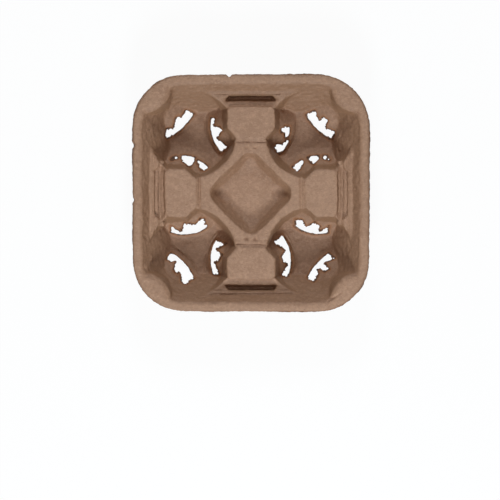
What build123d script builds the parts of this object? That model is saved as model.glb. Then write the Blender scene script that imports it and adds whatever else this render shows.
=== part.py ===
"""Four-cup carrier tray, moulded in one piece from fibre pulp.

The tray is one sheet of even thickness, so each form is drawn by a function that takes
`grow`: 0 gives the upper skin and `sheet` gives the lower skin, offset square to the wall.
"""
import os
from math import atan2, cos, degrees, hypot, radians, sin, sqrt, tan

from build123d import *

os.makedirs("parts", exist_ok=True)

# Overall size of the tray and its sheet, in millimetres
tray_width = 215.9
tray_height = 50.8
sheet = 2.0
lip_width = 8.0
lip_corner = 48.0
lip_roll = 1.6

# Outer wall and the ledges at the middle of each side
wall_draft = 28.0
saddle_height = 35.5
ledge_step = 1.3
outer_ledge = 1.9
inner_ledge = 2.3
groove_width = 4.8
groove_floor = 24.0
groove_length = 50.0
groove_end_angle = 50.0
groove_draft = 8.0
shoulder_strip = 4.4

# Cup pockets
neck_width = 27.8
pocket_bite = 1.0
pocket_draft = 10.8
pocket_brim = 1.0
pocket_toe = 3.5

# Raised pads between neighbouring cups
pad_rise = 1.6
pad_width = 43.6
pad_from_well = 11.8
pad_inner_width = 25.4
pad_inner_chamfer = 10.4
pad_outer_chamfer = 3.2
pad_draft = 12.0
pad_bevel = 0.8

# Fingers that grip the cups: a steep wall on a conical foot
skirt_radius = 19.5
skirt_drop = 3.0
skirt_draft = 15.0
skirt_foot_to_cup = 13.0
skirt_foot_draft = 45.0
skirt_shift = 2.2
corner_finger_setback = 14.2
corner_finger_shelf = 21.0
corner_finger_radius = 25.9
corner_finger_shoulder = 3.3
corner_finger_knee = 31.0
corner_finger_knee_height = 17.5
corner_foot_to_cup = 6.5

# Well in the middle and the ring round it
ring_band = 6.2
well_depth = 16.0
well_draft = 30.0
well_dish = 3.5
well_floor_corner = 2.4

# Shallow line across each neck, and the pin marks beside it
neck_line_width = 1.6
neck_line_depth = 0.8
neck_line_from_pad = 2.6
pin_mark_radius = 1.7
pin_mark_depth = 0.7
pin_mark_spacing = 7.8
pin_mark_from_pad = 7.6

# Torn slots between the fingers and the floor
skirt_slot_margin = 4.0
corner_slot_margin = 5.5
slot_top = 27.0

# Each tear is how far its floor edge lies outside the slot circle, then the torn edge as
# pairs of the angle from the cup's centre and the depth of the tear towards the finger.
skirt_tears = {
    "back": (
        [(0.0, ((-20, 4.0), (-8, 2.4), (-5, 8.9), (1, 10.0), (12, 3.0), (34, 8.0), (33, 2.5)))],
        [(-1.5, ((7, 4.5), (-1, 8.3), (-5, 6.4), (-3, 3.5), (-10, 3.3))),
         (0.3, ((-14, 2.0), (-24, 4.0), (-27, 8.2), (-34, 8.1), (-36, 5.3)))],
    ),
    "left": (
        [(0.8, ((-27, 1.8), (-30, 5.8), (-13, 2.0), (-7, 10.4), (5, 8.9), (12, 6.9),
                (24, 9.8), (30, 7.6), (27, 3.8)))],
        [(-2.8, ((12, 1.5), (11, 5.4), (4, 6.8), (0, 9.8), (-5, 9.4), (-9, 4.1))),
         (-4.2, ((-14, 1.6), (-26, 6.2), (-33, 5.0), (-34, 2.3)))],
    ),
    "front": (
        [(-0.5, ((29, 3.5), (30, 8.1), (24, 9.8), (8, 2.9), (-2, 8.6), (-11, 6.5),
                 (-14, 2.3), (-34, 5.7), (-34, 2.5)))],
        [(-0.5, ((-22, 2.0), (-26, 9.3), (-9, 3.2), (-2, 9.8), (10, 6.4), (12, 2.6),
                 (25, 5.1), (33, 4.6), (30, 1.5)))],
    ),
    "right": (
        [(-3.2, ((18, 2.6), (28, 5.8), (35, 5.6), (36, 3.6))),
         (-3.0, ((-9, 2.0), (-3, 5.1), (0, 8.2), (4, 6.1), (8, 2.2)))],
        [(0.4, ((-27, 1.6), (-32, 5.0), (-23, 8.5), (-11, 3.6), (2, 10.6), (11, 7.0),
                (10, 2.2), (27, 5.7), (23, 1.9)))],
    ),
}
corner_tears = {
    "back_right": (3.5, ((-16, 2.5), (-15, 9.3), (-3, 5.5), (-3, 12.2), (3, 12.5), (7, 5.2),
                         (18, 7.6), (19, 3.0))),
    "back_left": (1.0, ((16, 2.5), (15, 7.4), (5, 7.2), (3, 10.7), (-2, 9.9), (-10, 4.6),
                        (-17, 8.1), (-22, 3.5))),
    "front_left": (-1.5, ((15, 1.5), (17, 7.3), (10, 7.2), (6, 3.4), (0, 11.3), (-6, 11.9),
                          (-7, 8.4), (-20, 11.2), (-25, 8.6), (-22, 3.0))),
    "front_right": (-0.7, ((-13, 1.3), (-16, 6.7), (-3, 4.0), (-2, 11.5), (4, 10.3),
                           (7, 3.2), (12, 6.9), (23, 7.1), (22, 2.0))),
}

basin_half = tray_width / 2 - lip_width
basin_corner = lip_corner - lip_width
ledge_height = saddle_height + ledge_step
pad_height = saddle_height + pad_rise


def wall_at(height):
    """Half width of the basin's upper skin at a height."""
    return basin_half - (tray_height - height) * tan(radians(wall_draft))


ledge_edge = wall_at(ledge_height) - outer_ledge
groove_outer = ledge_edge - inner_ledge
pocket_centre = (wall_at(saddle_height) + pocket_bite + neck_width / 2) / 2
pocket_radius = pocket_centre - neck_width / 2
well_half = pocket_centre * sqrt(2) - pocket_radius - ring_band
well_corner = well_floor_corner + well_depth * tan(radians(well_draft))
well_tip = well_half * sqrt(2) - well_corner * (sqrt(2) - 1)
pad_outer = groove_outer - groove_width - shoulder_strip
pad_inner = well_tip + pad_from_well
skirt_centre = (pad_outer + pad_inner) / 2 - skirt_shift
basin_diagonal = (basin_half - basin_corner) * sqrt(2) + basin_corner
skirt_foot = hypot(pocket_centre, pocket_centre - skirt_centre) - skirt_foot_to_cup
corner_finger = (basin_diagonal + corner_finger_setback) / sqrt(2)
corner_finger_foot = (corner_finger - pocket_centre) * sqrt(2) - corner_foot_to_cup


def upright(form):
    """The sides of an extruded form, without its top and bottom."""
    return form.faces().filter_by(Axis.Z, reverse=True)


def square_pit(half, corner, top, depth, lean, grow, turn=0.0):
    """A square pit with rounded corners, cut down from a height, its walls leaning in."""
    side = grow / cos(radians(lean))
    level = Plane.XY.offset(top)
    with BuildPart() as pit:
        with BuildSketch(level):
            RectangleRounded(
                2 * (half + side), 2 * (half + side), corner + side, rotation=turn
            )
        extrude(amount=-(depth + grow))
        draft(upright(pit), level, -lean)
    return pit.part


def turned(outline, amount):
    """A form turned about the upright axis from its half outline, offset by an amount."""
    with BuildPart() as form:
        with BuildSketch(Plane.XZ):
            with BuildLine():
                Polyline(*outline)
                mirror(about=Plane.YZ)
            make_face()
            if amount:
                offset(amount=amount, kind=Kind.INTERSECTION)
            split(bisect_by=Plane.YZ)
        revolve(axis=Axis.Z)
    return form.part


def cup_pit(grow):
    """A drafted round pit for one cup, with a bevelled brim and toe."""
    lean = tan(radians(pocket_draft))
    toe = sheet + pocket_toe
    toe_radius = pocket_radius - (saddle_height - toe) * lean
    outline = [
        (0, 2 * tray_height),
        (pocket_radius + tray_height, saddle_height + tray_height),
        (pocket_radius - pocket_brim * lean, saddle_height - pocket_brim),
        (toe_radius, toe),
        (toe_radius - 2 * pocket_toe, toe - 2 * pocket_toe),
        (toe_radius - 2 * pocket_toe, -tray_height),
        (0, -tray_height),
    ]
    return turned(outline, grow)


def skirt(grow):
    """The round skirt under a pad: two gripping fingers that stand on one conical foot."""
    lean = tan(radians(skirt_draft))
    foot_lean = tan(radians(skirt_foot_draft))
    top = saddle_height - skirt_drop
    knee_drop = ((skirt_foot - skirt_radius - (top - sheet) * foot_lean)
                 / (lean - foot_lean))
    outline = [
        (0, top),
        (skirt_radius, top),
        (skirt_radius + knee_drop * lean, top - knee_drop),
        (skirt_foot + (tray_height + sheet) * foot_lean, -tray_height),
        (0, -tray_height),
    ]
    return turned(outline, -grow)


def corner_post(grow):
    """The finger in a corner, flush with the lip, sweeping out into the pocket's floor."""
    run = (corner_finger_foot - corner_finger_knee) / (corner_finger_knee_height - sheet)
    outline = [
        (0, tray_height),
        (corner_finger_shelf, tray_height),
        (corner_finger_radius, tray_height - corner_finger_shoulder),
        (corner_finger_knee, corner_finger_knee_height),
        (corner_finger_foot + (tray_height + sheet) * run, -tray_height),
        (0, -tray_height),
    ]
    return turned(outline, -grow)


def saddles(grow):
    """The solid between the cups, up to the ledges, with the four cup pits cut out."""
    with BuildPart() as block:
        with Locations((0, 0, ledge_height - grow)):
            Box(tray_width, tray_width, 2 * tray_height,
                align=(Align.CENTER, Align.CENTER, Align.MAX))
        add(square_pit(ledge_edge, basin_corner, ledge_height, ledge_step, wall_draft, grow),
            mode=Mode.SUBTRACT)
        with GridLocations(2 * pocket_centre, 2 * pocket_centre, 2, 2):
            add(cup_pit(grow), mode=Mode.SUBTRACT)
    return block.part


def pad(grow):
    """One raised pad between two cups: an octagon with drafted sides and a bevelled top."""
    half = pad_width / 2
    chamfered = half - pad_outer_chamfer
    inner = pad_inner_width / 2
    with BuildPart() as block:
        with BuildSketch(Plane.XY.offset(pad_height - grow)):
            Polygon(
                (-inner, pad_inner), (inner, pad_inner),
                (half, pad_inner + pad_inner_chamfer), (half, pad_outer - pad_outer_chamfer),
                (chamfered, pad_outer), (-chamfered, pad_outer),
                (-half, pad_outer - pad_outer_chamfer), (-half, pad_inner + pad_inner_chamfer),
                align=None,
            )
            if grow:
                shrink = grow * (1 - sin(radians(pad_draft))) / cos(radians(pad_draft))
                offset(amount=-shrink, kind=Kind.INTERSECTION)
        extrude(amount=-tray_height)
        draft(upright(block), Plane.XY.offset(pad_height - grow), pad_draft)
        if not grow:
            chamfer(block.faces().sort_by(Axis.Z)[-1].edges(), length=pad_bevel)
        with Locations((0, skirt_centre, 0)):
            add(skirt(grow))
    return block.part


def groove(grow):
    """The narrow deep groove between the ledges and a pad."""
    level = Plane.XY.offset(ledge_height)
    with BuildPart() as trench:
        with BuildSketch(level):
            with Locations((0, groove_outer - groove_width / 2)):
                Trapezoid(groove_length, groove_width, groove_end_angle)
            if grow:
                offset(amount=grow / cos(radians(groove_draft)), kind=Kind.INTERSECTION)
        extrude(amount=-(ledge_height - groove_floor + grow))
        draft(upright(trench), level, -groove_draft)
    return trench.part


def well(grow):
    """The well in the middle of the ring: steep walls over a floor dished up at its edges."""
    depth = well_depth + sheet
    steep = tan(radians(well_draft))
    flat = tan(radians(2 * well_draft))
    floor_half = well_half - well_depth * steep - well_dish
    dish_half = floor_half + depth * flat
    with BuildPart() as pit:
        add(square_pit(well_half + sheet * steep, well_corner + sheet * steep,
                       saddle_height + sheet, depth, well_draft, grow, 45))
        add(square_pit(dish_half, dish_half - floor_half / 2, saddle_height + sheet,
                       depth, 2 * well_draft, grow, 45), mode=Mode.INTERSECT)
    return pit.part


def hollow(grow):
    """The space above one skin of the sheet."""
    with BuildPart() as space:
        add(square_pit(basin_half, basin_corner, tray_height, tray_height - sheet,
                       wall_draft, grow))
        add(square_pit(basin_half + lip_roll, basin_corner + lip_roll, tray_height,
                       lip_roll, 2 * wall_draft, grow))
        add(saddles(grow), mode=Mode.SUBTRACT)
        with PolarLocations(0, 4):
            add(pad(grow), mode=Mode.SUBTRACT)
        with GridLocations(2 * corner_finger, 2 * corner_finger, 2, 2):
            add(corner_post(grow), mode=Mode.SUBTRACT)
        with PolarLocations(0, 4):
            add(groove(grow))
        add(well(grow))
    return space.part


def torn_slot(circle, tear):
    """An upright cutter for one tear about its finger's axis, with the cup's centre along +X."""
    outside, torn_edge = tear
    floor_edge = circle + outside
    torn = [((floor_edge - depth) * cos(radians(angle)), (floor_edge - depth) * sin(radians(angle)))
            for angle, depth in torn_edge]
    start = torn_edge[0][0]
    end = torn_edge[-1][0]
    with BuildPart() as cutter:
        with BuildSketch(Plane.XY.offset(-sheet)):
            with BuildLine():
                on_floor = CenterArc((0, 0), floor_edge, start, end - start)
                Polyline(on_floor @ 0, *torn, on_floor @ 1)
            make_face()
        extrude(amount=slot_top + sheet)
    return cutter.part


def slot_cutters():
    """All the tears: one or more at each side of a pad's skirt, and one at each corner finger."""
    with BuildPart() as cutters:
        for turn, pair in enumerate(skirt_tears.values()):
            for facing, tears in zip((-1, 1), pair):
                aim = degrees(atan2(pocket_centre - skirt_centre, facing * pocket_centre))
                seat = Location((0, skirt_centre, 0), (0, 0, aim))
                with Locations(Location((0, 0, 0), (0, 0, 90 * turn)) * seat):
                    for tear in tears:
                        add(torn_slot(skirt_foot - skirt_slot_margin, tear))
        for turn, tear in enumerate(corner_tears.values()):
            seat = Location((corner_finger, corner_finger, 0), (0, 0, 225))
            with Locations(Location((0, 0, 0), (0, 0, 90 * turn)) * seat):
                add(torn_slot(corner_finger_foot - corner_slot_margin, tear))
    return cutters.part


def neck_marks():
    """The shallow line and the two pin marks on each neck, cut into the upper skin."""
    with BuildPart() as marks:
        with PolarLocations(0, 4):
            with Locations((0, pad_inner - neck_line_from_pad, saddle_height)):
                Box(pocket_centre, neck_line_width, 2 * neck_line_depth)
        with GridLocations(pin_mark_spacing, 2 * (pad_inner - pin_mark_from_pad), 2, 2):
            with Locations((0, 0, saddle_height)):
                Cylinder(pin_mark_radius, 2 * pin_mark_depth)
    return marks.part


with BuildPart() as cup_tray:
    with BuildSketch(Plane.XY.offset(tray_height)):
        RectangleRounded(tray_width, tray_width, lip_corner)
    extrude(amount=-sheet)
    add(hollow(sheet))
    add(hollow(0), mode=Mode.SUBTRACT)
    add(slot_cutters(), mode=Mode.SUBTRACT)
    add(neck_marks(), mode=Mode.SUBTRACT)

cup_tray.part.label = "cup_tray"
export_step(cup_tray.part, "parts/cup_tray.step")
print("volume", round(cup_tray.part.volume / 1000, 1), "cm3",
      "solids", len(cup_tray.part.solids()), "valid", cup_tray.part.is_valid)
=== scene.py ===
import math
import random

import bmesh
import bpy
import numpy as np
from mathutils import Matrix, Vector, kdtree


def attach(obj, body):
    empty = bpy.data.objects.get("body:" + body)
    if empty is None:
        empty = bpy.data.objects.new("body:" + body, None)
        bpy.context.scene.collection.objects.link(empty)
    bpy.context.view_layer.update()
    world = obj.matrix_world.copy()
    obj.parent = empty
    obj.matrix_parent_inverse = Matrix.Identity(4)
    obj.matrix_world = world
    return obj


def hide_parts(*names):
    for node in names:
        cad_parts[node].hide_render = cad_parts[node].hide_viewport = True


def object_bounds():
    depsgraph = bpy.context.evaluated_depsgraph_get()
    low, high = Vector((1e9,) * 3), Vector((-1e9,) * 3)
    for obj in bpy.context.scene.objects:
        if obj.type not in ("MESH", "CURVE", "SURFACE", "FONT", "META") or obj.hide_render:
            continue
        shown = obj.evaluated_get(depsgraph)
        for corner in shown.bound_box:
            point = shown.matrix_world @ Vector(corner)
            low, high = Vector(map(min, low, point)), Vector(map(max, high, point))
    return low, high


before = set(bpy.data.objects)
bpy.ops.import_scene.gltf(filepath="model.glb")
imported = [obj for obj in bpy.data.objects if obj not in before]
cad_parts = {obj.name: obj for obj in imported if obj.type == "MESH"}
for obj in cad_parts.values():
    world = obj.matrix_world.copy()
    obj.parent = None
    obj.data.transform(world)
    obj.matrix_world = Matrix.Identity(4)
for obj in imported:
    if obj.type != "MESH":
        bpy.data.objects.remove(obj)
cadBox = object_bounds()  # the solid's own box, before anything is added
print("frame loaded")


def linearColor(hexCode):
    channels = [int(hexCode[i:i + 2], 16) / 255 for i in (1, 3, 5)]
    return [c / 12.92 if c <= 0.04045 else ((c + 0.055) / 1.055) ** 2.4 for c in channels] + [1]


def addNode(tree, kind, links=None, **settings):
    node = tree.nodes.new(kind)
    for name, value in settings.items():
        setattr(node, name, value)
    for socket, source in (links or {}).items():
        if isinstance(source, bpy.types.NodeSocket):
            tree.links.new(source, node.inputs[socket])
        else:
            node.inputs[socket].default_value = source
    return node


def seenRays(tree):
    path = addNode(tree, "ShaderNodeLightPath").outputs
    seen = path["Is Camera Ray"]
    for ray in ("Is Glossy Ray", "Is Transmission Ray"):
        seen = addNode(tree, "ShaderNodeMath", {0: seen, 1: path[ray]},
                       operation="MAXIMUM").outputs[0]
    return seen


def newMaterial(name):
    material = bpy.data.materials.new(name)
    material.use_nodes = True
    material.node_tree.nodes.clear()
    return material


# Camera straight above the tray, far enough off that the walls show no lean.
view = {
    "photoSize": 500,
    "trayWidthInPhoto": 237.5,
    "trayCentreInPhoto": (251, 193),
    "height": 6.0,
    "sensor": 36.0,
}


def makeCamera(v):
    trayWidth = cadBox[1].x - cadBox[0].x
    lipHeight = cadBox[1].z
    photoWidth = trayWidth * v["photoSize"] / v["trayWidthInPhoto"]
    bpy.ops.object.camera_add(location=(0, 0, v["height"]), rotation=(0, 0, 0))
    camera = bpy.context.object
    camera.name = "camera"
    lens = camera.data
    lens.sensor_width = v["sensor"]
    lens.lens = v["sensor"] * (v["height"] - lipHeight) / photoWidth
    lens.clip_end = 4 * v["height"]
    half = v["photoSize"] / 2
    lens.shift_x = (half - v["trayCentreInPhoto"][0]) / v["photoSize"]
    lens.shift_y = (v["trayCentreInPhoto"][1] - half) / v["photoSize"]
    bpy.context.scene.camera = camera


makeCamera(view)
print("camera made")


# Studio light: a cool lamp low on the front side, a weaker one behind and a faint one overhead,
# with a faint warm dome, so that the walls that face left and right stay darkest.
light = {
    "dome": 0.10,
    "domeColor": "#ffe8cf",
    "background": "#ffffff",
    "target": (0, 0, 0.03),
    "lamps": {
        "keyLamp": {"color": "#e6f5ff", "reach": 0.87, "place": (0.0, -1.0, 0.90), "size": 0.35},
        "fillLamp": {"color": "#e6f5ff", "reach": 0.50, "place": (0.0, 1.2, 1.1), "size": 0.5},
        "topLamp": {"color": "#f0f6ff", "reach": 0.07, "place": (0.0, 0.0, 2.0), "size": 0.7},
    },
}


def makeDome(v):
    world = bpy.data.worlds.new("studio")
    bpy.context.scene.world = world
    world.use_nodes = True
    tree = world.node_tree
    tree.nodes.clear()
    seen = seenRays(tree)
    dome = addNode(tree, "ShaderNodeBackground", {"Color": linearColor(v["domeColor"]),
                                                  "Strength": v["dome"]})
    backdrop = addNode(tree, "ShaderNodeBackground", {"Color": linearColor(v["background"]),
                                                      "Strength": 1.0})
    mix = addNode(tree, "ShaderNodeMixShader", {0: seen, 1: dome.outputs[0],
                                                2: backdrop.outputs[0]})
    addNode(tree, "ShaderNodeOutputWorld", {"Surface": mix.outputs[0]})


def makeLamp(name, target, v):
    place = Vector(v["place"])
    way = Vector(target) - place
    bpy.ops.object.light_add(type="AREA", location=place,
                             rotation=way.to_track_quat("-Z", "Y").to_euler())
    lamp = bpy.context.object
    lamp.name = name
    lamp.data.shape = "DISK"
    lamp.data.size = v["size"]
    lamp.data.color = linearColor(v["color"])[:3]
    # Reach is the light that falls on a face turned to the lamp, in units of a dome of strength 1
    lamp.data.energy = v["reach"] * math.pi ** 2 * way.length_squared


makeDome(light)
for lampName, lamp in light["lamps"].items():
    makeLamp(lampName, light["target"], lamp)
print("light made")


# White studio floor that shows only a faint shadow and throws little light up at the tray.
floor = {
    "size": 6.0,
    "color": "#f2f2f2",
    "bounceColor": "#8c8c8c",
    "glow": "#ffffff",
    "shadowShare": 0.06,
}


def makeFloor(v):
    bpy.ops.mesh.primitive_plane_add(size=v["size"], location=(0, 0, 0))
    plane = bpy.context.object
    plane.name = "floor"
    material = newMaterial("studioFloor")
    tree = material.node_tree
    seen = seenRays(tree)
    dim = addNode(tree, "ShaderNodeBsdfDiffuse", {"Color": linearColor(v["bounceColor"])})
    matt = addNode(tree, "ShaderNodeBsdfDiffuse", {"Color": linearColor(v["color"])})
    glow = addNode(tree, "ShaderNodeEmission", {"Color": linearColor(v["glow"]),
                                                "Strength": 1.0})
    shown = addNode(tree, "ShaderNodeMixShader", {0: 1 - v["shadowShare"], 1: matt.outputs[0],
                                                  2: glow.outputs[0]})
    mix = addNode(tree, "ShaderNodeMixShader", {0: seen, 1: dim.outputs[0],
                                                2: shown.outputs[0]})
    addNode(tree, "ShaderNodeOutputMaterial", {"Surface": mix.outputs[0]})
    plane.data.materials.append(material)


makeFloor(floor)
print("floor made")


# Moulded fibre pulp, unglazed: it scatters all light, and its short fibres and the wire screen
# that it was drawn on leave a fine grain with paler and darker flecks. Sizes in millimetres.
pulp = {
    "body": "#9f795f",
    "patchSize": 26.0,  # slow drift of the stock's colour
    "patchDetail": 2,
    "clumpSize": 3.0,
    "clumpDetail": 3,
    "fibreLength": 3.0,
    "fibreWidth": 0.5,  # coarser than the real fibres, so that they show
    "fibreDetail": 1,
    "fibreTilt": (0.3, 0.4),
    "fibreTurns": (0.5, 2.1),
    "grainSize": 1.1,
    "grainDetail": 4,
    "grainDepth": 0.3,
    "patternRoughness": 0.6,
    # What colours the body: where it begins to tell, where it is full, its share there, its colour
    "patches": (0.35, 0.7, 0.3, "#7a543a"),
    "clumps": (0.45, 0.75, 0.65, "#b98f72"),
    "paleFibres": (0.62, 0.72, 0.75, "#b98f72"),
    "darkFibres": (0.64, 0.74, 0.75, "#7a543a"),
    "steepWalls": (0.0, 1.0, 0.55, "#86603f"),  # painted shade: steep faces darker, as they take less light
    "warmFringe": (0.05, 0.6, 0.6, "#a5642f"),
    # painted shade: a dark line along the torn edges and the rim
    "paintedEdgeShade": (0.4, 0.85, 0.9, "#3a2214"),
    "fringeSpread": (0.55, 1.15),  # the clumps make the warm band and the painted edge shade narrower or wider
    "spreadClumps": (0.35, 0.65),
    "roughness": 0.62,
    "specular": 0.45,
}


def makePulp(v):
    material = newMaterial("mouldedPulp")
    tree = material.node_tree
    where = addNode(tree, "ShaderNodeTexCoord").outputs["Object"]

    def noise(size, detail, stretch=(1, 1, 1), turn=(0, 0, 0)):
        placed = addNode(tree, "ShaderNodeMapping", {"Vector": where, "Rotation": turn,
                                                     "Scale": stretch}).outputs[0]
        return addNode(tree, "ShaderNodeTexNoise", {"Vector": placed, "Scale": 1000 / size,
                                                    "Detail": detail,
                                                    "Roughness": v["patternRoughness"]}
                       ).outputs["Fac"]

    def band(source, low, high, least, most):
        return addNode(tree, "ShaderNodeMapRange", {"Value": source, "From Min": low,
                                                    "From Max": high, "To Min": least,
                                                    "To Max": most}).outputs[0]

    def onTray(name):
        return addNode(tree, "ShaderNodeAttribute", attribute_name=name).outputs["Fac"]

    patches = noise(v["patchSize"], v["patchDetail"])
    clumps = noise(v["clumpSize"], v["clumpDetail"])
    thin = v["fibreLength"] / v["fibreWidth"]
    paleFibres, darkFibres = (noise(v["fibreLength"], v["fibreDetail"], (1, thin, thin),
                                    (*v["fibreTilt"], turn)) for turn in v["fibreTurns"])
    grain = noise(v["grainSize"], v["grainDetail"])
    spread = band(clumps, *v["spreadClumps"], *v["fringeSpread"])
    edgeBandAndShade = addNode(tree, "ShaderNodeMath", {0: onTray("edgeBandAndShade"), 1: spread},
                     operation="MULTIPLY").outputs[0]

    color = linearColor(v["body"])
    # Painted shade: the steep walls darker, and a dark line along the torn edges and the rim
    layers = {"patches": patches, "clumps": clumps, "paleFibres": paleFibres,
              "darkFibres": darkFibres, "steepWalls": onTray("slopeShade"), "warmFringe": edgeBandAndShade,
              "paintedEdgeShade": edgeBandAndShade}
    for name, source in layers.items():
        low, high, most, hexCode = v[name]
        color = addNode(tree, "ShaderNodeMix", {0: band(source, low, high, 0.0, most), 6: color,
                                                7: linearColor(hexCode)},
                        data_type="RGBA").outputs[2]

    relief = addNode(tree, "ShaderNodeMath", {0: grain, 1: paleFibres}, operation="ADD")
    bump = addNode(tree, "ShaderNodeBump", {"Height": relief.outputs[0], "Strength": 1.0,
                                            "Distance": v["grainDepth"] / 1000})
    shader = addNode(tree, "ShaderNodeBsdfPrincipled", {"Base Color": color,
                                                        "Roughness": v["roughness"],
                                                        "Specular IOR Level": v["specular"],
                                                        "Normal": bump.outputs[0]})
    addNode(tree, "ShaderNodeOutputMaterial", {"Surface": shader.outputs[0]})
    return material


# The tray: one sheet of pulp, uneven and soft at its edges as it left the mould. Sizes are in
# metres, and places are seen from above.
tray = {
    "weld": 0.00001,
    "voxel": 0.00062,
    "triangles": 190000,
    "clearance": 0.0001,  # above the floor
    "smoothing": 0.5,  # the strength of one pass
    "softening": 2,  # passes over the whole
    "warp": (0.045, 0.0022),  # slow waves in the walls and the lip: size and reach
    "ragged": (0.0045, 0.0011),  # uneven edges
    "lumps": (0.0022, 0.00035),  # grain of the surface
    "pinholes": {  # small holes torn beside the slots at the back
        "seed": 3,
        "sides": 9,
        "ragged": 0.3,
        "height": 0.03,
        "places": [  # place and half size
            ((-0.0691, 0.0324), (0.0019, 0.0016)),
            ((-0.0722, 0.0310), (0.0011, 0.0010)),
            ((0.0678, 0.0326), (0.0026, 0.0016)),
            ((0.0713, 0.0310), (0.0012, 0.0010)),
        ],
    },
    "tears": {  # the slots' torn edges, and the tufts of fibre left on them below the fingers
        "seed": 7,
        "top": 0.027,
        "upright": 0.02,
        "cupCentre": 0.0534,
        "facing": -0.4,  # below this the edge is the floor's, which is cut clean
        "areaEach": 4.0e-6,
        "across": (0.0005, 0.0011),
        "along": (0.0007, 0.0019),
        "spacing": 0.0005,
    },
    "grooves": {  # at the middle of each side, eased so that their floors show from above
        "centre": 0.0859,
        "reach": 0.0056,
        "halfLength": 0.030,
        "top": 0.0335,
        "floor": 0.024,
        "below": 0.004,  # the sheet under the floor that moves with it
        "keep": (0.30, 0.74),  # share of depth that stays, left and right, then front and back
        "widen": (0.0012, 0.0),  # in the same order
        "halfFloor": 0.0006,
        "ends": 0.006,
        "lean": (0.0784, 0.0829),  # where the strip between pad and groove leans down outwards
        "leanStop": (0.0848, 0.0873),  # in the same order, as are the drop and the slide
        "leanFade": 0.0013,
        "leanDrop": (0.0046, 0.0022),
        "slide": (0.0, 0.0015),  # of the outer wall, outwards
        "slideCentre": 0.0873,
        "slideReach": 0.0034,
    },
    "soft": {  # forms that the mould leaves softer: passes over each, and where it is
        "ring": 7,
        "ringHalfDiagonal": 0.053,
        "ringBottom": 0.012,
        "brim": (0.004, 0.014),  # in from the rim
        "brimBottom": 0.042,
        "groove": 9,
        "grooveBand": (0.081, 0.0915),
        "grooveHalfLength": 0.030,
        "grooveBottom": 0.018,
        "corner": 40,
        "cornerCentre": 0.0983,
        "cornerReach": 0.034,
        "cornerBottom": 0.032,
        "cornerInwards": 0.003,
    },
    "creases": [  # pressed into the upper skin: start, end, depth and half width
        ((-0.014, 0.0465), (0.014, 0.0465), 0.0007, 0.0010),
        ((-0.014, -0.0465), (0.014, -0.0465), 0.0006, 0.0010),
        ((-0.0465, -0.015), (-0.0465, 0.015), 0.0009, 0.0011),
        ((0.0455, -0.016), (0.0455, 0.016), 0.0010, 0.0014),
        ((-0.015, -0.0418), (0.015, -0.0418), 0.0007, 0.0016),
        ((-0.038, -0.0925), (0.038, -0.0925), 0.0009, 0.0009),
        ((-0.029, -0.0926), (-0.014, -0.0922), 0.0005, 0.0009),
        ((-0.034, -0.0892), (0.034, -0.0892), 0.0007, 0.0009),
        ((-0.034, 0.0906), (0.034, 0.0906), 0.0010, 0.0008),
        ((-0.020, 0.0797), (0.020, 0.0797), 0.0009, 0.0011),
        ((-0.020, -0.0793), (0.020, -0.0793), 0.0006, 0.0009),
        ((-0.0797, -0.018), (-0.0797, 0.018), 0.0010, 0.0010),
        ((0.0797, -0.018), (0.0797, 0.018), 0.0010, 0.0010),
        ((-0.0876, -0.035), (-0.0876, 0.033), 0.0011, 0.0008),
        ((0.0876, -0.034), (0.0876, 0.033), 0.0009, 0.0008),
        ((0.0706, -0.0982), (0.0818, -0.0914), 0.0010, 0.0010),
        ((0.0706, -0.0982), (0.0708, -0.1060), 0.0005, 0.0008),
    ],
    "arcEnds": 3,  # an arc fades out over one part in this many of its half angle
    "arcs": [  # curved creases beside the slots: centre, radius, the way to the middle of the
        # arc, half its angle, depth and half width
        ((0.0134, -0.0720), 0.0554, (-0.95, 0.31), 0.40, 0.0014, 0.0012),
        ((-0.0134, -0.0720), 0.0554, (0.95, 0.31), 0.40, 0.0011, 0.0011),
        ((0.0134, 0.0680), 0.0556, (-0.96, -0.28), 0.40, 0.0013, 0.0012),
        ((-0.0134, 0.0680), 0.0556, (0.96, -0.28), 0.40, 0.0010, 0.0011),
        ((-0.0900, -0.0900), 0.0445, (0.76, 0.65), 0.42, 0.0011, 0.0011),
    ],
    "lip": {  # it droops a little and rolls down at its rim
        "corner": 0.048,
        "width": 0.008,
        "droop": 0.0005,
        "rollWidth": 0.0022,
        "rollDrop": 0.0028,
        "from": 0.045,
    },
    "dents": [  # place, depth, half width and the heights of the sheet that it moves
        ((-0.0043, 0.0414), 0.0008, 0.0021, (0.031, 0.037)),  # the mould's pins in two necks
        ((0.0043, 0.0414), 0.0008, 0.0021, (0.031, 0.037)),
        ((-0.0043, -0.0414), 0.0009, 0.0021, (0.031, 0.037)),
        ((0.0043, -0.0414), 0.0009, 0.0021, (0.031, 0.037)),
        ((-0.0275, -0.001), 0.0030, 0.0090, (0.010, 0.0345)),  # the well's tips, left and right
        ((0.0280, 0.0), 0.0030, 0.0090, (0.010, 0.0345)),
    ],
    "nicks": [  # in the rim: place, push and half width
        ((-0.0200, 0.1079), (0.0002, -0.0024), 0.0030),
        ((-0.1079, 0.0435), (0.0016, 0.0), 0.0045),
        ((-0.1079, -0.0064), (0.0012, 0.0), 0.0030),
    ],
    "edgeBandAndShade": {  # the torn edges thinner than the sheet, and along them and the rim a warmer band and a darker line of painted shade
        "thinReach": 0.0015,
        "thinning": 0.0007,
        "reach": 0.0032,
        "rimReach": 0.0011,
        "rimTop": 0.04,
    },
    "steep": (0.6, 0.3),  # upward share of the normal where the painted wall shade begins, and where it is full
}


def activate(piece):
    bpy.ops.object.select_all(action="DESELECT")
    piece.select_set(True)
    bpy.context.view_layer.objects.active = piece


def applyModifier(piece, name, kind, **settings):
    activate(piece)
    modifier = piece.modifiers.new(name, kind)
    for setting, value in settings.items():
        setattr(modifier, setting, value)
    bpy.ops.object.modifier_apply(modifier=name)


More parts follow.
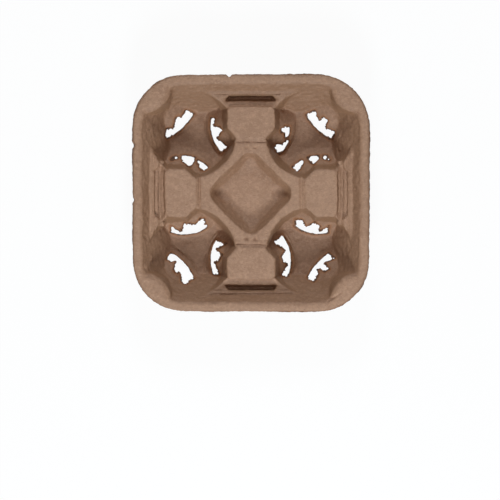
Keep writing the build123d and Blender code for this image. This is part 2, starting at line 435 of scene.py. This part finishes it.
def getPoints(piece, name="co"):
    values = np.empty(3 * len(piece.data.vertices))
    piece.data.vertices.foreach_get(name, values)
    return values.reshape(-1, 3)


def setPoints(piece, points):
    piece.data.vertices.foreach_set("co", points.ravel())


def markPoints(piece, name, values):
    layer = piece.data.attributes.new(name, "FLOAT", "POINT")
    layer.data.foreach_set("value", values)


def ramp(value, start, end):
    return np.clip((value - start) / (end - start), 0, 1)


def mound(away):
    return np.clip(1 - away ** 2, 0, 1)


def fromRim(points):  # how far in from the rim, square to it and round the corners
    corner = tray["lip"]["corner"]
    reach = np.abs(points[:, :2]) - (cadBox[1].x - corner)
    return corner - np.hypot(*np.maximum(reach, 0).T) - np.minimum(reach.max(axis=1), 0)


def tearPinholes(piece, v):
    chance = random.Random(v["seed"])
    for place, halfSize in v["places"]:
        bpy.ops.mesh.primitive_cylinder_add(vertices=v["sides"], radius=1, depth=v["height"])
        cutter = bpy.context.object
        reach = [chance.uniform(1 - v["ragged"], 1 + v["ragged"]) for _ in range(v["sides"])]
        for index, vertex in enumerate(cutter.data.vertices):  # two for each corner, in turn
            vertex.co.x = place[0] + vertex.co.x * halfSize[0] * reach[index // 2]
            vertex.co.y = place[1] + vertex.co.y * halfSize[1] * reach[index // 2]
        applyModifier(piece, "pinhole", "BOOLEAN", object=cutter, operation="DIFFERENCE",
                      solver="EXACT")
        bpy.data.objects.remove(cutter)


def isTorn(face, v):
    return abs(face.normal.z) < v["upright"] and face.calc_center_median().z < v["top"]


def isFinger(face, v):
    middle = face.calc_center_median()
    cup = Vector((math.copysign(v["cupCentre"], middle.x),
                  math.copysign(v["cupCentre"], middle.y), middle.z))
    return face.normal.dot((cup - middle).normalized()) > v["facing"]


def somewhereOn(face, chance):
    first, second, third = (loop.vert.co for loop in face.loops)
    share, other = sorted((chance.random(), chance.random()))
    return first * share + second * (other - share) + third * (1 - other)


def findTears(form, v):
    chance = random.Random(v["seed"])
    points = [somewhereOn(face, chance) for face in form.faces if isTorn(face, v)
              for _ in range(math.ceil(face.calc_area() / v["spacing"] ** 2))]
    tears = kdtree.KDTree(len(points))
    for index, point in enumerate(points):
        tears.insert(point, index)
    tears.balance()
    return tears


def addTufts(form, v):
    chance = random.Random(v["seed"])
    for face in [face for face in form.faces if isTorn(face, v) and isFinger(face, v)]:
        turn = face.normal.to_track_quat("Z", "Y").to_matrix().to_4x4()
        for _ in range(int(face.calc_area() / v["areaEach"] + chance.random())):
            point = somewhereOn(face, chance)
            across = chance.uniform(*v["across"])
            size = Matrix.Diagonal((across, across, chance.uniform(*v["along"]), 1))
            bmesh.ops.create_icosphere(form, subdivisions=1, radius=1,
                                       matrix=Matrix.Translation(point) @ turn @ size)


def tearSlots(piece, v):
    form = bmesh.new()
    form.from_mesh(piece.data)
    bmesh.ops.triangulate(form, faces=form.faces)
    form.normal_update()
    tears = findTears(form, v)
    addTufts(form, v)
    form.to_mesh(piece.data)
    form.free()
    return tears


def fromTears(points, tears, reach):
    away = np.full(len(points), reach)
    for index in np.flatnonzero(points[:, 2] < tray["tears"]["top"] + reach):
        away[index] = min(tears.find(points[index])[2], reach)
    return away


def easeGroove(points, along, across, v):
    side = np.abs(points[:, across]) - v["centre"]
    inside = ((np.abs(side) < v["reach"]) & (np.abs(points[:, along]) < v["halfLength"])
              & (points[:, 2] < v["top"]) & (points[:, 2] > v["floor"] - v["below"]))
    push = v["widen"][across] * ramp(points[inside, 2], v["top"], v["floor"])
    push *= np.clip(side[inside] / v["halfFloor"], -1, 1)
    points[inside, across] += push * np.sign(points[inside, across])
    points[inside, 2] = v["top"] - (v["top"] - points[inside, 2]) * v["keep"][across]


def leanStrip(points, along, across, v):
    out = np.abs(points[:, across])
    inside = ramp(np.abs(points[:, along]), v["halfLength"], v["halfLength"] - v["ends"])
    inside *= points[:, 2] > v["floor"] - v["below"]
    stop = v["leanStop"][across]
    lean = ramp(out, *v["lean"]) * ramp(out, stop, stop - v["leanFade"]) * inside
    points[:, 2] -= v["leanDrop"][across] * lean


def slideOuterWall(points, along, across, v):
    inside = ramp(np.abs(points[:, along]), v["halfLength"], v["halfLength"] - v["ends"])
    inside *= points[:, 2] > v["floor"] - v["below"]
    away = (np.abs(points[:, across]) - v["slideCentre"]) / v["slideReach"]
    slide = v["slide"][across] * mound(away) ** 2 * inside
    points[:, across] += slide * np.sign(points[:, across])


def shapeSides(piece, v):
    points = getPoints(piece)
    for along, across in ((1, 0), (0, 1)):
        easeGroove(points, along, across, v)
        leanStrip(points, along, across, v)
        slideOuterWall(points, along, across, v)
    setPoints(piece, points)


def softenWhere(piece, name, inside, times):
    group = piece.vertex_groups.new(name=name)
    group.add(np.flatnonzero(inside).tolist(), 1.0, "REPLACE")
    applyModifier(piece, name, "SMOOTH", factor=tray["smoothing"], iterations=times,
                  vertex_group=name)
    piece.vertex_groups.clear()


def softenForms(piece, v):
    points = getPoints(piece)
    height = points[:, 2]
    plan, inwards = np.abs(points[:, :2]), fromRim(points)
    ring = (plan.sum(axis=1) < v["ringHalfDiagonal"]) & (height > v["ringBottom"])
    brim = (inwards > v["brim"][0]) & (inwards < v["brim"][1]) & (height > v["brimBottom"])
    softenWhere(piece, "softRing", ring | brim, v["ring"])
    out = plan.max(axis=1)
    groove = (out > v["grooveBand"][0]) & (out < v["grooveBand"][1])
    groove &= (plan.min(axis=1) < v["grooveHalfLength"]) & (height > v["grooveBottom"])
    softenWhere(piece, "softGrooves", groove, v["groove"])
    corner = np.hypot(*(plan - v["cornerCentre"]).T) < v["cornerReach"]
    corner &= (height > v["cornerBottom"]) & (inwards > v["cornerInwards"])
    softenWhere(piece, "softCorners", corner, v["corner"])


def thinEdges(points, normals, tears, v):
    share = 1 - fromTears(points, tears, v["thinReach"]) / v["thinReach"]
    points[:, 2] -= normals[:, 2] * v["thinning"] * share


def pressCreases(points, upper, creases):
    for start, end, depth, halfWidth in creases:
        start, run = np.array(start), np.subtract(end, start)
        away = points[:, :2] - start
        share = np.clip(away @ run / (run @ run), 0, 1)
        away = np.hypot(*(away - share[:, None] * run).T) / halfWidth
        points[:, 2] -= depth * upper * mound(away)


def pressArcs(points, upper, arcs):
    for centre, radius, middle, halfAngle, depth, halfWidth in arcs:
        away = points[:, :2] - centre
        far = np.hypot(*away.T)
        turn = np.arccos(np.clip(away @ np.array(middle) / (far * np.hypot(*middle)), -1, 1))
        share = mound((far - radius) / halfWidth)
        share *= np.clip(tray["arcEnds"] * (1 - turn / halfAngle), 0, 1)
        share *= points[:, 2] < tray["tears"]["top"]
        points[:, 2] -= depth * share * upper


def pressSkin(piece, tears, v):
    points, normals = getPoints(piece), getPoints(piece, "normal")
    upper = np.clip(2 * normals[:, 2], 0, 1)  # the upper skin alone
    thinEdges(points, normals, tears, v["edgeBandAndShade"])
    pressCreases(points, upper, v["creases"])
    pressArcs(points, upper, v["arcs"])
    setPoints(piece, points)


def shake(piece, name, size, reach, direction):
    texture = bpy.data.textures.new(name, "CLOUDS")
    texture.noise_scale = size
    texture.noise_depth = 1
    texture.cloud_type = "COLOR" if direction == "RGB_TO_XYZ" else "GRAYSCALE"
    applyModifier(piece, name, "DISPLACE", texture=texture, texture_coords="LOCAL",
                  direction=direction, strength=reach, mid_level=0.5)


def bendLip(points, v):
    inwards = fromRim(points)
    drop = v["droop"] * ramp(inwards, v["width"], 0)
    drop += v["rollDrop"] * ramp(inwards, v["rollWidth"], 0) ** 2
    points[:, 2] -= drop * (points[:, 2] > v["from"])


def pressDents(points, dents):
    for place, depth, halfWidth, (low, high) in dents:
        inside = (points[:, 2] > low) & (points[:, 2] < high)
        away = np.hypot(*(points[inside, :2] - place).T) / halfWidth
        points[inside, 2] -= depth * mound(away)


def pressNicks(points, nicks):
    for place, push, halfWidth in nicks:
        away = np.hypot(*(points[:, :2] - place).T) / halfWidth
        points[:, :2] += mound(away)[:, None] ** 2 * push


def wearEdges(piece, v):
    points = getPoints(piece)
    bendLip(points, v["lip"])
    pressDents(points, v["dents"])
    pressNicks(points, v["nicks"])
    points[:, 2] = np.maximum(points[:, 2], v["clearance"])  # it stands flat on the table
    setPoints(piece, points)


def markShades(piece, tears, v):
    points, edgeBandAndShade = getPoints(piece), v["edgeBandAndShade"]
    # mask along the torn edges and the rim, for the warm band and the painted shade line
    torn = 1 - fromTears(points, tears, edgeBandAndShade["reach"]) / edgeBandAndShade["reach"]
    rim = ramp(fromRim(points), edgeBandAndShade["rimReach"], 0) * (points[:, 2] > edgeBandAndShade["rimTop"])
    markPoints(piece, "edgeBandAndShade", np.maximum(torn, rim))
    # painted shade: steep faces darker, as they take less light
    markPoints(piece, "slopeShade", ramp(np.abs(getPoints(piece, "normal")[:, 2]), *v["steep"]))


def makeTray(v, material):
    piece = bpy.data.objects.new("pulpTray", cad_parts["cup_tray"].data.copy())
    bpy.context.scene.collection.objects.link(piece)
    applyModifier(piece, "merge", "WELD", merge_threshold=v["weld"])
    tearPinholes(piece, v["pinholes"])
    tears = tearSlots(piece, v["tears"])
    applyModifier(piece, "evenMesh", "REMESH", mode="VOXEL", voxel_size=v["voxel"])
    applyModifier(piece, "soften", "SMOOTH", factor=v["smoothing"], iterations=v["softening"])
    shapeSides(piece, v["grooves"])
    softenForms(piece, v["soft"])
    pressSkin(piece, tears, v)
    shake(piece, "warp", *v["warp"], "RGB_TO_XYZ")
    shake(piece, "ragged", *v["ragged"], "RGB_TO_XYZ")
    shake(piece, "lumps", *v["lumps"], "NORMAL")
    wearEdges(piece, v)
    made = sum(len(polygon.vertices) - 2 for polygon in piece.data.polygons)
    print("tray meshed,", made, "triangles")
    applyModifier(piece, "thin", "DECIMATE", ratio=v["triangles"] / made)
    markShades(piece, tears, v)
    bpy.ops.object.shade_smooth()
    piece.data.materials.clear()
    piece.data.materials.append(material)
    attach(piece, "root")
    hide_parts("cup_tray")
    print("tray made,", len(piece.data.polygons), "faces")


makeTray(tray, makePulp(pulp))

bpy.context.scene.view_settings.view_transform = "Standard"
